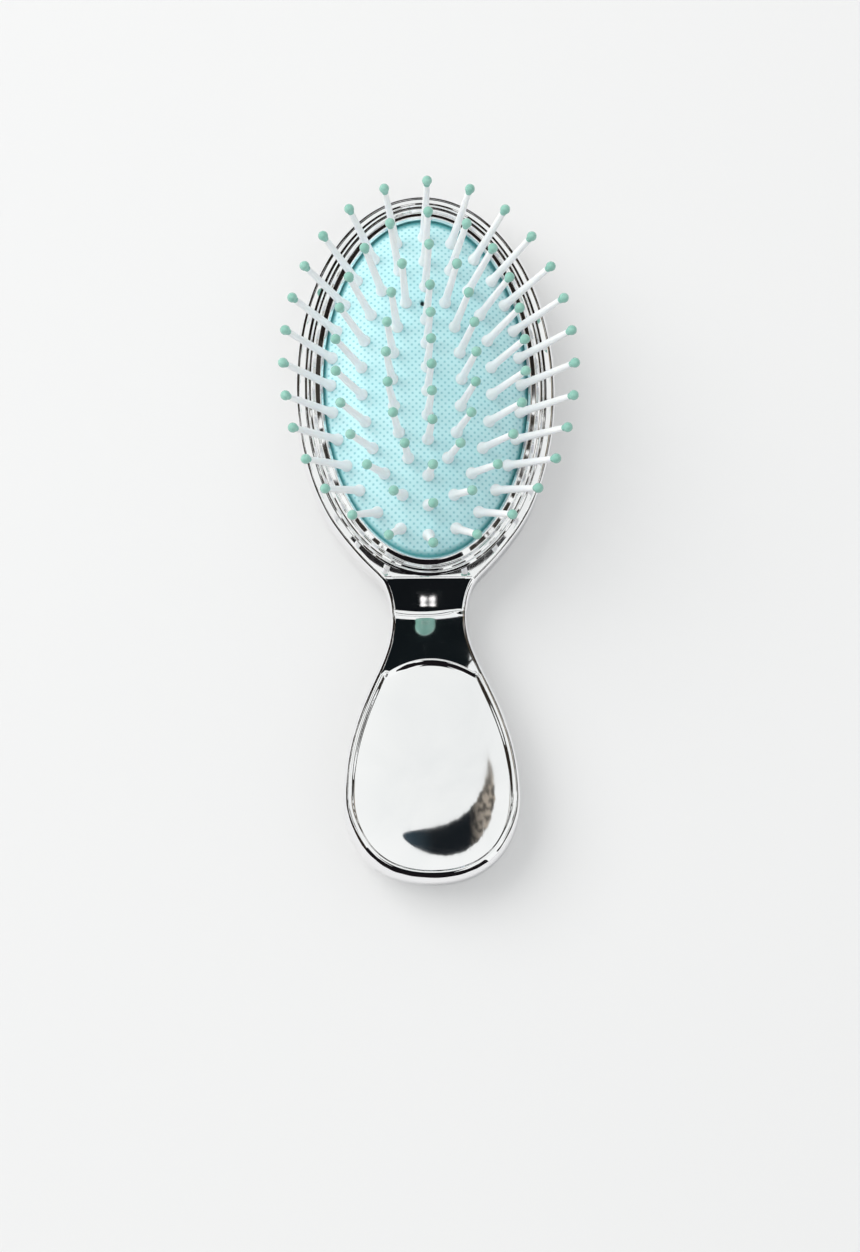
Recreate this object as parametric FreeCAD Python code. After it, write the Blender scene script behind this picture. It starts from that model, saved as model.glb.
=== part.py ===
import FreeCAD, Part
import math
import os

# Cushion: an oval rubber dome on a flat flange
pad_half_width = 18.1
pad_half_length = 31.2
pad_edge_level = 9.0
dome_height = 4.8
dome_power_share = 2.8
membrane_thickness = 1.1
skirt_thickness = 0.6
flange_width = 2.1
flange_thickness = 1.0
vent_radius = 0.4

# Body outline, seen from above
rim_width = 5.2
neck_half_width = 6.75
neck_station = -42.4
handle_half_width = 15.25
handle_end_station = -88.4

# Body levels above the flat back
parting_level = 5.0
face_level = 9.5
neck_dip = 2.3
neck_dip_half_length = 7.4
neck_dip_station = -41.9
back_round = 4.2
rim_round = 1.25
shell_wall = 2.0

# Tongue of the back shell inside the front shell
tongue_inset = 1.1
tongue_height = 0.7
tongue_seat_inset = 1.0
front_cavity_height = 0.8
handle_core_height = 1.9

# Dish in the face of the handle
dish_half_width = 12.9
dish_top_station = -50.5
dish_end_station = -86.3
dish_level = 8.5
dish_floor_round = 0.5
dish_edge_round = 0.4

# Cushion frame: an oval trim ring with two beads, pressed on the flange
frame_clearance = 0.2
frame_width = 3.2
frame_foot_level = 8.8
frame_lip_level = 9.35
frame_inner_bead_level = 9.95
frame_groove_level = 9.5
frame_outer_bead_level = 10.4
frame_shoulder_level = 9.7
frame_pocket_clearance = 0.1
ledge_level = 7.65
chamber_width = 0.4

# Pins with ball tips, in three oval rings round a centre row
outer_ring_count = 28
middle_ring_count = 22
inner_ring_count = 16
centre_row_count = 6
pin_length = 15.5
pin_foot_radius = 1.1
pin_foot_height = 0.3
pin_flare_height = 3.0
pin_shaft_radius = 0.74
pin_end_radius = 0.62
pin_stem_radius = 0.6
pin_head_radius = 1.2
pin_head_thickness = 0.7
pin_gap = 0.14
hole_clearance = 0.06
ball_radius = 0.97
pocket_clearance = 0.02
pin_end_depth = 0.15

# One overrun for every cutter
overrun = 4.0

# Pin rings and vent on the cushion: share of the pad's half-width, share of its half-length
outer_ring_shares = (0.928, 0.8815)
middle_ring_shares = (0.6355, 0.721)
inner_ring_shares = (0.337, 0.5575)
centre_row_share = 0.3525
vent_share = 0.4585

# Across the frame: share of its width where each bead and groove lies
lip_share = 0.0
inner_bead_share = 0.18
groove_share = 0.36
outer_bead_share = 0.66
shoulder_share = 0.9

# From the head to the neck: where the oval ends, as a share of a half turn, and the curve on to the
# neck, as shares of the half-width difference and of the length
shoulder_angle_share = 0.328
shoulder_shares = [(0.595, 0.235), (0.255, 0.43), (0.08, 0.64)]

# From the neck to the end of the handle: share of the half-width difference, share of the length
handle_shares = [(0.09, 0.102), (0.295, 0.2), (0.605, 0.302), (0.845, 0.45), (1.0, 0.623)]
handle_shares = handle_shares + [(0.93, 0.79), (0.625, 0.9), (0.14, 0.973)]

# Round the dish: share of its half-width, share of its length
dish_shares = [(0.4, 0.016), (0.66, 0.075), (0.78, 0.165), (0.91, 0.35), (1.0, 0.575)]
dish_shares = dish_shares + [(0.945, 0.775), (0.75, 0.908), (0.43, 0.98)]

turn = 2.0 * math.pi
up = FreeCAD.Vector(0, 0, 1)


def dome_level(x, y):
    rho = math.hypot(x / pad_half_width, y / pad_half_length)
    return pad_edge_level + dome_height * (1 - rho ** dome_power_share)


def dome_normal(x, y):
    rho = math.hypot(x / pad_half_width, y / pad_half_length)
    if rho == 0:
        return FreeCAD.Vector(0, 0, 1)
    steep = dome_height * dome_power_share * rho ** (dome_power_share - 2)
    normal = FreeCAD.Vector(steep * x / pad_half_width ** 2, steep * y / pad_half_length ** 2, 1)
    return normal.normalize()


def pad_point(angle, out):
    # A point of the pad's ellipse, moved outwards along the normal
    nx = math.cos(angle) / pad_half_width
    ny = math.sin(angle) / pad_half_length
    size = math.hypot(nx, ny)
    x = pad_half_width * math.cos(angle) + out * nx / size
    y = pad_half_length * math.sin(angle) + out * ny / size
    return FreeCAD.Vector(x, y, 0)


def closed_curve(points):
    curve = Part.BSplineCurve()
    curve.interpolate(points, True)
    return curve


def oval(out):
    count = 24
    return closed_curve([pad_point(turn * i / count, out) for i in range(count)])


def mirrored(half):
    # half runs from the top point to the bottom point on the side of +X
    other = [FreeCAD.Vector(-p.x, p.y, p.z) for p in half[1:-1]]
    return half + other[::-1]


def loop(curve):
    # A closed curve as a wire of eight arcs
    count = 8
    first = curve.FirstParameter
    span = (curve.LastParameter - first) / count
    return Part.Wire([curve.toShape(first + span * i, first + span * (i + 1)) for i in range(count)])


def plate(curve, low, high):
    # Everything inside a closed curve, between two levels
    face = Part.Face(loop(curve))
    face.translate(FreeCAD.Vector(0, 0, low))
    return face.extrude(FreeCAD.Vector(0, 0, high - low))


def body_half():
    points = []
    steps = 11
    last = shoulder_angle_share * math.pi
    for i in range(steps):
        angle = math.pi / 2 - (math.pi / 2 + last) * i / (steps - 1)
        points.append(pad_point(angle, rim_width))
    points[0] = FreeCAD.Vector(0, pad_half_length + rim_width, 0)
    start = points[-1]
    for wide, along in shoulder_shares:
        x = neck_half_width + (start.x - neck_half_width) * wide
        y = start.y + (neck_station - start.y) * along
        points.append(FreeCAD.Vector(x, y, 0))
    points.append(FreeCAD.Vector(neck_half_width, neck_station, 0))
    for wide, along in handle_shares:
        x = neck_half_width + (handle_half_width - neck_half_width) * wide
        y = neck_station + (handle_end_station - neck_station) * along
        points.append(FreeCAD.Vector(x, y, 0))
    points.append(FreeCAD.Vector(0, handle_end_station, 0))
    return points


body_curve = closed_curve(mirrored(body_half()))


def body_outline(inset):
    if inset == 0:
        return body_curve
    count = 72
    first = body_curve.FirstParameter
    last = body_curve.LastParameter
    points = []
    for i in range(count):
        at = first + (last - first) * i / count
        p = body_curve.value(at)
        t = body_curve.tangent(at)[0]
        points.append(FreeCAD.Vector(p.x + inset * t.y, p.y - inset * t.x, 0))
    return closed_curve(points)


def dish_outline():
    half = [FreeCAD.Vector(0, dish_top_station, 0)]
    for wide, along in dish_shares:
        y = dish_top_station + (dish_end_station - dish_top_station) * along
        half.append(FreeCAD.Vector(dish_half_width * wide, y, 0))
    half.append(FreeCAD.Vector(0, dish_end_station, 0))
    return closed_curve(mirrored(half))


def ring_edges(shape, level):
    return [e for e in shape.Edges if abs(e.BoundBox.ZMin - level) < pin_gap and e.BoundBox.ZLength < pin_gap]


def on_loop(edge, wire):
    middle = edge.valueAt((edge.FirstParameter + edge.LastParameter) / 2)
    return Part.Vertex(middle).distToShape(wire)[0] < pin_gap


def make_back_shell():
    outer = plate(body_outline(0), 0, parting_level)
    outer = outer.makeFillet(back_round, ring_edges(outer, 0))
    inner = plate(body_outline(shell_wall), shell_wall, parting_level + overrun)
    inner = inner.makeFillet(back_round - shell_wall, ring_edges(inner, shell_wall))
    shell = outer.cut(inner)
    tongue = plate(body_outline(tongue_inset), parting_level - tongue_height, parting_level + tongue_height)
    tongue = tongue.cut(inner)
    return shell.fuse(tongue).removeSplitter()


def make_front_shell():
    shell = plate(body_outline(0), parting_level, face_level)
    shell = shell.makeFillet(rim_round, ring_edges(shell, face_level))
    # The neck's dip is a round groove across the body
    groove_radius = (neck_dip_half_length ** 2 + neck_dip ** 2) / (2 * neck_dip)
    side = FreeCAD.Vector(-handle_half_width, neck_dip_station, face_level - neck_dip + groove_radius)
    groove = Part.makeCylinder(groove_radius, 2 * handle_half_width, side, FreeCAD.Vector(1, 0, 0))
    shell = shell.cut(groove)
    dish = plate(dish_outline(), dish_level, face_level + overrun)
    dish = dish.makeFillet(dish_floor_round, ring_edges(dish, dish_level))
    shell = shell.cut(dish)
    brim_loop = loop(dish_outline())
    brim_loop.translate(FreeCAD.Vector(0, 0, face_level))
    brim = [e for e in ring_edges(shell, face_level) if on_loop(e, brim_loop)]
    shell = shell.makeFillet(dish_edge_round, brim)
    pocket = plate(oval(frame_clearance + frame_width + frame_pocket_clearance), ledge_level, face_level + overrun)
    chamber = plate(oval(chamber_width), 0, face_level + overrun)
    cavity = plate(body_outline(tongue_seat_inset), 0, parting_level + front_cavity_height)
    core = plate(dish_outline(), 0, parting_level + handle_core_height)
    for cutter in (pocket, chamber, cavity, core):
        shell = shell.cut(cutter)
    return shell


def make_frame():
    # Profile across the ring at the middle of the side
    start = pad_half_width + frame_clearance

    def at(share, level):
        return FreeCAD.Vector(start + frame_width * share, 0, level)

    crown = Part.BSplineCurve()
    crown.interpolate([
        at(lip_share, frame_lip_level),
        at(inner_bead_share, frame_inner_bead_level),
        at(groove_share, frame_groove_level),
        at(outer_bead_share, frame_outer_bead_level),
        at(shoulder_share, frame_shoulder_level),
    ])
    inner_foot = at(0, frame_foot_level)
    outer_foot = at(1, frame_foot_level)
    outer_top = at(1, frame_shoulder_level)
    profile = Part.Wire([
        Part.makeLine(inner_foot, at(lip_share, frame_lip_level)),
        crown.toShape(),
        Part.makeLine(at(shoulder_share, frame_shoulder_level), outer_top),
        Part.makeLine(outer_top, outer_foot),
        Part.makeLine(outer_foot, inner_foot),
    ])
    spine = Part.Wire([oval(frame_clearance).toShape()])
    return spine.makePipeShell([profile], True, True)


def make_cushion(places):
    count = 14
    outer = []
    inner = []
    inside = pad_half_width - skirt_thickness
    for i in range(count + 1):
        r = pad_half_width * i / count
        outer.append(FreeCAD.Vector(r, 0, dome_level(r, 0)))
        r = inside * i / count
        inner.append(FreeCAD.Vector(r, 0, dome_level(r, 0) - membrane_thickness))
    over = Part.BSplineCurve()
    over.interpolate(outer)
    under = Part.BSplineCurve()
    under.interpolate(inner)
    foot_level = frame_foot_level - pin_gap / 2 - flange_thickness
    foot_out = FreeCAD.Vector(pad_half_width, 0, foot_level)
    foot_in = FreeCAD.Vector(inside, 0, foot_level)
    section = Part.Wire([
        over.toShape(),
        Part.makeLine(outer[-1], foot_out),
        Part.makeLine(foot_out, foot_in),
        Part.makeLine(foot_in, inner[-1]),
        under.toShape(),
        Part.makeLine(inner[0], outer[0]),
    ])
    dome = Part.Face(section).revolve(FreeCAD.Vector(0, 0, 0), up, 360)
    stretch = FreeCAD.Matrix()
    stretch.scale(1, pad_half_length / pad_half_width, 1)
    dome = dome.transformGeometry(stretch)
    flange = plate(oval(flange_width), foot_level, foot_level + flange_thickness)
    flange = flange.cut(plate(oval(-skirt_thickness / 2), foot_level - overrun, pad_edge_level + overrun))
    pad = dome.fuse(flange)
    drills = []
    for x, y in places:
        drills.append((x, y, pin_stem_radius + hole_clearance))
    drills.append((0.0, pad_half_length * vent_share, vent_radius))
    cutters = []
    for x, y, radius in drills:
        normal = dome_normal(x, y)
        base = FreeCAD.Vector(x, y, dome_level(x, y))
        cutters.append(Part.makeCylinder(radius, 2 * pin_flare_height, base - normal * pin_flare_height, normal))
    return pad.cut(cutters)


def make_pin():
    # Upright pin: the cushion's surface is at level 0
    foot = pin_gap
    flare_low = FreeCAD.Vector(pin_foot_radius, 0, foot + pin_foot_height)
    flare_high = FreeCAD.Vector(pin_shaft_radius, 0, pin_flare_height)
    bow = (pin_foot_radius - pin_shaft_radius) / 4
    middle = (flare_low + flare_high) / 2 - FreeCAD.Vector(bow, 0, 0)
    head_top = -membrane_thickness - pin_gap
    head_low = head_top - pin_head_thickness
    end = pin_length + pin_end_depth
    section = Part.Wire([
        Part.makeLine(FreeCAD.Vector(0, 0, head_low), FreeCAD.Vector(pin_head_radius, 0, head_low)),
        Part.makeLine(FreeCAD.Vector(pin_head_radius, 0, head_low), FreeCAD.Vector(pin_head_radius, 0, head_top)),
        Part.makeLine(FreeCAD.Vector(pin_head_radius, 0, head_top), FreeCAD.Vector(pin_stem_radius, 0, head_top)),
        Part.makeLine(FreeCAD.Vector(pin_stem_radius, 0, head_top), FreeCAD.Vector(pin_stem_radius, 0, foot)),
        Part.makeLine(FreeCAD.Vector(pin_stem_radius, 0, foot), FreeCAD.Vector(pin_foot_radius, 0, foot)),
        Part.makeLine(FreeCAD.Vector(pin_foot_radius, 0, foot), flare_low),
        Part.Arc(flare_low, middle, flare_high).toShape(),
        Part.makeLine(flare_high, FreeCAD.Vector(pin_end_radius, 0, end)),
        Part.makeLine(FreeCAD.Vector(pin_end_radius, 0, end), FreeCAD.Vector(0, 0, end)),
        Part.makeLine(FreeCAD.Vector(0, 0, end), FreeCAD.Vector(0, 0, head_low)),
    ])
    return Part.Face(section).revolve(FreeCAD.Vector(0, 0, 0), up, 360)


def make_tip():
    ball = Part.makeSphere(ball_radius, FreeCAD.Vector(0, 0, pin_length))
    bore_radius = pin_end_radius + (pin_shaft_radius - pin_end_radius) * ball_radius / pin_length + pocket_clearance
    depth = ball_radius + pin_end_depth + pocket_clearance
    bore = Part.makeCylinder(bore_radius, depth, FreeCAD.Vector(0, 0, pin_length - ball_radius))
    return ball.cut(bore)


def stand(shape, place):
    x, y = place
    copy = shape.copy()
    turned = FreeCAD.Rotation(up, dome_normal(x, y))
    copy.Placement = FreeCAD.Placement(FreeCAD.Vector(x, y, dome_level(x, y)), turned)
    return copy


def ring_places(shares, count):
    # Equal steps along the ellipse, from the top point on the axis
    half_width = pad_half_width * shares[0]
    half_length = pad_half_length * shares[1]
    fine = 2000
    xs = [half_width * math.sin(turn * i / fine) for i in range(fine + 1)]
    ys = [half_length * math.cos(turn * i / fine) for i in range(fine + 1)]
    run = [0.0]
    for i in range(fine):
        run.append(run[-1] + math.hypot(xs[i + 1] - xs[i], ys[i + 1] - ys[i]))
    places = []
    at = 0
    for n in range(count // 2 + 1):
        want = run[-1] * n / count
        while run[at + 1] < want:
            at = at + 1
        part_way = (want - run[at]) / (run[at + 1] - run[at])
        places.append((xs[at] + (xs[at + 1] - xs[at]) * part_way, ys[at] + (ys[at + 1] - ys[at]) * part_way))
    groups = []
    for n, (x, y) in enumerate(places):
        if n in (0, count // 2):
            groups.append([(0.0, y)])
        else:
            groups.append([(x, y), (-x, y)])
    return groups


def row_places(share, count):
    half_length = pad_half_length * share
    return [[(0.0, half_length - 2 * half_length * n / (count - 1))] for n in range(count)]


rings = {
    "outer": ring_places(outer_ring_shares, outer_ring_count),
    "middle": ring_places(middle_ring_shares, middle_ring_count),
    "inner": ring_places(inner_ring_shares, inner_ring_count),
    "centre": row_places(centre_row_share, centre_row_count),
}

os.makedirs("parts", exist_ok=True)
all_places = [place for groups in rings.values() for group in groups for place in group]

make_back_shell().exportStep("parts/back_shell.step")
make_front_shell().exportStep("parts/front_shell.step")
make_frame().exportStep("parts/cushion_frame.step")
make_cushion(all_places).exportStep("parts/cushion.step")

pin = make_pin()
tip = make_tip()
for ring, groups in rings.items():
    tips = []
    for n, group in enumerate(groups):
        pins = [stand(pin, place) for place in group]
        Part.makeCompound(pins).exportStep("parts/%s_pins_%02d.step" % (ring, n + 1))
        tips = tips + [stand(tip, place) for place in group]
    Part.makeCompound(tips).exportStep("parts/%s_tips.step" % ring)
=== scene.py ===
import math
import bmesh
import bpy
import numpy as np
from mathutils import Matrix, Vector


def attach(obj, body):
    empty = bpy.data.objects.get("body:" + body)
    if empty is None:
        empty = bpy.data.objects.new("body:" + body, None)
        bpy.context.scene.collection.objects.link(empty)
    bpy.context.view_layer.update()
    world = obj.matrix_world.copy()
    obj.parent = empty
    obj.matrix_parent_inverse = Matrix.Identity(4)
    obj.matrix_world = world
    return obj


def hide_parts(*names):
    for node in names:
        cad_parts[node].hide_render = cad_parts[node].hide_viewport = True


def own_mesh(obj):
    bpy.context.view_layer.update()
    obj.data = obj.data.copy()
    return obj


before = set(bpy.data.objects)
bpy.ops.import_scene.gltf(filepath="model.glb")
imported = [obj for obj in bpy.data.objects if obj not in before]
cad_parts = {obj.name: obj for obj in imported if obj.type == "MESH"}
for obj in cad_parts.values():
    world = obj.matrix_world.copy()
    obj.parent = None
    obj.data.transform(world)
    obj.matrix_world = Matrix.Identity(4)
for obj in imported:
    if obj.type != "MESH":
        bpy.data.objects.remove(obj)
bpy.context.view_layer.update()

mm = 0.001  # shapes are given in millimetres, meshes and finishes in metres
tau = 2 * math.pi
mirrorX = np.array([-1, 1])
meshSet = {"join": 2e-6, "flat": 1e-7}  # metres: points nearer than join become one, edges under flat go
fineSteps = 4000  # points of a curve that is only read off


def say(stage):
    print("brush:", stage)


def gridFaces(rows, columns, closed=False, start=0):
    # quads of a rows x columns grid of points, closed joins the last column to the first
    index = start + np.arange(rows * columns).reshape(rows, columns)
    if closed:
        index = np.concatenate([index, index[:, :1]], axis=1)
    a, b = index[:-1, :-1], index[:-1, 1:]
    c, d = index[1:, 1:], index[1:, :-1]
    return np.stack([a, b, c, d], axis=-1).reshape(-1, 4)


def flatSheet(x, y, level):
    return np.stack([x, y, np.full_like(x, level)], -1)


def putMesh(name, points, faces, material, keepSharp=None):
    # points in mm, faces as lists of corner numbers, doubles merged, normals turned outwards
    mesh = bpy.data.meshes.new(name)
    mesh.from_pydata((points * mm).tolist(), [], faces)
    tidy = bmesh.new()
    tidy.from_mesh(mesh)
    bmesh.ops.remove_doubles(tidy, verts=tidy.verts, dist=meshSet["join"])
    bmesh.ops.dissolve_degenerate(tidy, edges=tidy.edges, dist=meshSet["flat"])
    bmesh.ops.recalc_face_normals(tidy, faces=tidy.faces)
    tidy.to_mesh(mesh)
    tidy.free()
    mesh.polygons.foreach_set("use_smooth", np.ones(len(mesh.polygons), bool))
    if keepSharp:
        mesh.set_sharp_from_angle(angle=math.radians(keepSharp))
    piece = bpy.data.objects.new(name, mesh)
    bpy.context.collection.objects.link(piece)
    piece.data.materials.append(material)
    return piece


def closedSpline(knots, samples):
    # cubic spline through a closed ring of points, chord lengths as its parameter,
    # second derivatives from the cyclic three-term equations
    steps = np.linalg.norm(np.roll(knots, -1, axis=0) - knots, axis=1)
    count = len(knots)
    at = np.arange(count)
    before, after = (at - 1) % count, (at + 1) % count
    system = np.zeros((count, count))
    system[at, at] = 2 * (steps[before] + steps)
    system[at, before] += steps[before]
    system[at, after] += steps
    rise = (knots[after] - knots) / steps[:, None]
    bend = np.linalg.solve(system, 6 * (rise - rise[before]))
    stops = np.concatenate([[0], np.cumsum(steps)])
    u = np.linspace(0, stops[-1], samples, endpoint=False)
    k = np.clip(np.searchsorted(stops, u, side="right") - 1, 0, count - 1)
    h = steps[k][:, None]
    far = (stops[k + 1] - u)[:, None]
    near = (u - stops[k])[:, None]
    last = after[k]
    curve = (bend[k] * far ** 3 + bend[last] * near ** 3) / (6 * h)
    curve += (knots[k] / h - bend[k] * h / 6) * far
    curve += (knots[last] / h - bend[last] * h / 6) * near
    return curve


def smoothMax(a, b, soft):
    # the larger of two levels, rounded off where they meet
    return (a + b + np.sqrt((a - b) ** 2 + soft ** 2)) / 2


def smoothMin(a, b, soft):
    # the smaller of two, in the same way
    return -smoothMax(-a, -b, soft)


def ease(t):
    # 3 t^2 - 2 t^3, held at 0 and 1
    t = np.clip(t, 0, 1)
    return t * t * (3 - 2 * t)


def newMaterial(name):
    material = bpy.data.materials.new(name)
    material.use_nodes = True
    tree = material.node_tree
    return material, tree, tree.nodes["Principled BSDF"]


def fill(tree, made, values):
    # a socket is linked, anything else becomes the input's own value
    for key, value in values.items():
        if isinstance(value, bpy.types.NodeSocket):
            tree.links.new(value, made.inputs[key])
        else:
            made.inputs[key].default_value = value


def addNode(tree, kind, values=None, **settings):
    made = tree.nodes.new(kind)
    for key, value in settings.items():
        setattr(made, key, value)
    fill(tree, made, values or {})
    return made


def doMath(tree, operation, *values):
    return addNode(tree, "ShaderNodeMath", dict(enumerate(values)), operation=operation).outputs[0]


def mixColour(tree, amount, first, second):
    return addNode(tree, "ShaderNodeMix", {0: amount, 6: first, 7: second}, data_type="RGBA").outputs[2]


def mixShare(tree, mask, share, first, second):
    return mixColour(tree, doMath(tree, "MULTIPLY", mask, share), first, second)


def scaleRange(tree, value, span, toLow=0.0, toHigh=1.0):
    low, high = span
    return addNode(tree, "ShaderNodeMapRange", {0: value, 1: low, 2: high, 3: toLow, 4: toHigh}).outputs[0]


def addNoise(tree, place, scale, detail, **more):
    values = {"Vector": place, "Scale": scale, "Detail": detail, **more}
    return addNode(tree, "ShaderNodeTexNoise", values).outputs["Fac"]


def addBump(tree, height, strength, reach, **settings):
    values = {"Strength": strength, "Distance": reach, "Height": height}
    return addNode(tree, "ShaderNodeBump", values, **settings).outputs[0]


def flatLength(tree, first, second):
    # sqrt(a^2 + b^2)
    squares = [doMath(tree, "POWER", part, 2.0) for part in (first, second)]
    return doMath(tree, "SQRT", doMath(tree, "ADD", *squares))


handlingSet = {"sizes": {"Smear size": 60.0, "Scratch size": 900.0, "Speck size": 1500.0},
               "smearDetail": 4.0, "smearBend": 0.6, "smearSpan": (0.42, 0.72),
               "scratchTurn": (0.0, 0.0, 0.6), "scratchStretch": (1.0, 0.045, 1.0),
               "scratchDetail": 2.0, "scratchSpan": (0.66, 0.74), "speckSpan": (0.06, 0.12)}


def makeHandling(look):
    # marks of handling: soft smears, fine scratches and specks, from object coordinates
    group = bpy.data.node_groups.new("handling marks", "ShaderNodeTree")
    face = group.interface
    face.new_socket("Place", in_out="INPUT", socket_type="NodeSocketVector")
    for name, value in look["sizes"].items():
        face.new_socket(name, in_out="INPUT", socket_type="NodeSocketFloat").default_value = value
    for name in ("Smear", "Scratch", "Speck"):
        face.new_socket(name, in_out="OUTPUT", socket_type="NodeSocketFloat")
    source = group.nodes.new("NodeGroupInput").outputs
    result = group.nodes.new("NodeGroupOutput")
    smear = addNoise(group, source["Place"], source["Smear size"], look["smearDetail"],
                     Distortion=look["smearBend"])
    smearMask = scaleRange(group, smear, look["smearSpan"])
    turned = {"Vector": source["Place"], "Rotation": look["scratchTurn"], "Scale": look["scratchStretch"]}
    stretched = addNode(group, "ShaderNodeMapping", turned).outputs[0]
    scratch = addNoise(group, stretched, source["Scratch size"], look["scratchDetail"])
    scratchMask = scaleRange(group, scratch, look["scratchSpan"])
    cells = {"Vector": source["Place"], "Scale": source["Speck size"]}
    speck = addNode(group, "ShaderNodeTexVoronoi", cells).outputs["Distance"]
    speckMask = scaleRange(group, speck, look["speckSpan"], 1.0, 0.0)
    fill(group, result, {"Smear": smearMask, "Scratch": scratchMask, "Speck": speckMask})
    return group


handling = makeHandling(handlingSet)


def placeHandling(tree, sizes):
    # object coordinates, and the masks with marks of these sizes
    place = addNode(tree, "ShaderNodeTexCoord").outputs["Object"]
    values = {"Place": place, **dict(zip(handlingSet["sizes"], sizes))}
    return place, addNode(tree, "ShaderNodeGroup", values, node_tree=handling).outputs


chromeLook = {"clean": (0.955, 0.955, 0.96, 1), "smeared": (0.9, 0.905, 0.915, 1),
              "gloss": 0.025, "smearDull": 0.035, "scratchDull": 0.05,
              "scratchDepth": 0.02, "scratchReach": 2e-5}


def makeChrome(name, sizes, **changes):
    # bright plating: nearly a mirror, dulled a little by smears and hairline scratches
    look = dict(chromeLook, **changes)
    material, tree, shader = newMaterial(name)
    marks = placeHandling(tree, sizes)[1]
    colour = mixColour(tree, marks["Smear"], look["clean"], look["smeared"])
    dull = doMath(tree, "MULTIPLY_ADD", marks["Smear"], look["smearDull"], look["gloss"])
    dull = doMath(tree, "MULTIPLY_ADD", marks["Scratch"], look["scratchDull"], dull)
    bump = addBump(tree, marks["Scratch"], look["scratchDepth"], look["scratchReach"], invert=True)
    fill(tree, shader, {"Base Color": colour, "Metallic": 1.0, "Roughness": dull, "Normal": bump})
    return material


chromeShell = makeChrome("chrome shell", (55.0, 800.0, 1300.0))
chromeBack = makeChrome("chrome back", (40.0, 650.0, 1100.0), smearDull=0.06)
chromeTrim = makeChrome("chrome trim", (80.0, 1000.0, 1500.0), gloss=0.02)

pad = {"halfWidth": 18.1, "halfLength": 31.2, "edge": 9.0, "rise": 4.8, "power": 2.8}
ventSpot = (-0.5 * mm, 14.3 * mm, 0.0)
# the teal rim colour of the rubber is painted shade where it rolls under the frame
rubberLook = {"pale": (0.58, 0.895, 0.925, 1), "deep": (0.44, 0.82, 0.87, 1), "dot": (0.2, 0.58, 0.64, 1),
              "speck": (0.8, 0.95, 0.96, 1), "edge": (0.03, 0.33, 0.35, 1), "ventShade": (0.01, 0.03, 0.035, 1),
              "marks": (90.0, 700.0, 900.0), "toneShare": 0.35, "speckShare": 0.15,
              "dotPitch": 1.28, "dotSpan": (0.25, 0.85), "dotShare": 0.78,
              "dotDepth": 0.35, "dotReach": 0.00012,
              "underFrameShadeSpan": (0.962, 0.992), "underFrameShadeShare": 0.9, "ventShadeSpan": (0.00032, 0.00046),
              "rough": 0.46, "smearRough": 0.1, "specular": 0.8,
              "milk": 0.12, "milkReach": (0.0006, 0.0012, 0.0012)}


def milkValues(look):
    # light that goes a little way in
    return {"Specular IOR Level": look["specular"], "Subsurface Weight": look["milk"],
            "Subsurface Radius": look["milkReach"], "Subsurface Scale": 1.0}


def makeRubber(look):
    # dimpled aqua rubber: rows of dots half a pitch apart, cos(kx) cos(ky), sunk and darker
    material, tree, shader = newMaterial("dimpled aqua rubber")
    place, marks = placeHandling(tree, look["marks"])
    axes = addNode(tree, "ShaderNodeSeparateXYZ", {0: place}).outputs
    turnRate = tau / (look["dotPitch"] * mm)
    waves = [doMath(tree, "COSINE", doMath(tree, "MULTIPLY", axes[i], turnRate)) for i in (0, 1)]
    dots = scaleRange(tree, doMath(tree, "MULTIPLY", *waves), look["dotSpan"])
    tone = mixColour(tree, marks["Smear"], look["pale"], look["deep"])
    tone = mixColour(tree, look["toneShare"], look["pale"], tone)
    colour = mixShare(tree, dots, look["dotShare"], tone, look["dot"])
    colour = mixShare(tree, marks["Speck"], look["speckShare"], colour, look["speck"])
    # painted shade: deeper teal where the rubber rolls under the frame, rho^2 = (x / a)^2 + (y / b)^2, and
    # painted shade in the vent
    across = doMath(tree, "DIVIDE", axes[0], pad["halfWidth"] * mm)
    along = doMath(tree, "DIVIDE", axes[1], pad["halfLength"] * mm)
    edge = scaleRange(tree, flatLength(tree, across, along), look["underFrameShadeSpan"], 0.0, look["underFrameShadeShare"])
    colour = mixColour(tree, edge, colour, look["edge"])
    # painted shade: near black over the vent's pit, as inside a deep hole
    ventWay = addNode(tree, "ShaderNodeVectorMath", {0: place, 1: ventSpot}, operation="SUBTRACT")
    ventAxes = addNode(tree, "ShaderNodeSeparateXYZ", {0: ventWay.outputs[0]}).outputs
    ventShade = scaleRange(tree, flatLength(tree, ventAxes[0], ventAxes[1]), look["ventShadeSpan"], 1.0, 0.0)
    colour = mixColour(tree, ventShade, colour, look["ventShade"])
    rough = doMath(tree, "MULTIPLY_ADD", marks["Smear"], look["smearRough"], look["rough"])
    bump = addBump(tree, dots, look["dotDepth"], look["dotReach"], invert=True)
    fill(tree, shader, {"Base Color": colour, "Roughness": rough, "Normal": bump})
    fill(tree, shader, milkValues(look))
    return material


nylonLook = {"clean": (0.95, 0.945, 0.955, 1), "dulled": (0.9, 0.895, 0.91, 1),
             "speck": (0.78, 0.78, 0.8, 1), "marks": (220.0, 1600.0, 2400.0), "speckShare": 0.25,
             "rough": 0.45, "scratchRough": 0.15, "specular": 0.3,
             "scratchDepth": 0.12, "scratchReach": 3e-5, "milk": 0.5, "milkReach": (0.0009, 0.0009, 0.001)}


def makeNylon(look):
    # white nylon, a little milky, faintly dulled in patches; the aqua near a foot is light from the pad
    material, tree, shader = newMaterial("white nylon")
    marks = placeHandling(tree, look["marks"])[1]
    colour = mixColour(tree, marks["Smear"], look["clean"], look["dulled"])
    colour = mixShare(tree, marks["Speck"], look["speckShare"], colour, look["speck"])
    rough = doMath(tree, "MULTIPLY_ADD", marks["Scratch"], look["scratchRough"], look["rough"])
    bump = addBump(tree, marks["Scratch"], look["scratchDepth"], look["scratchReach"])
    fill(tree, shader, {"Base Color": colour, "Roughness": rough, "Normal": bump})
    fill(tree, shader, milkValues(look))
    return material


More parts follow.
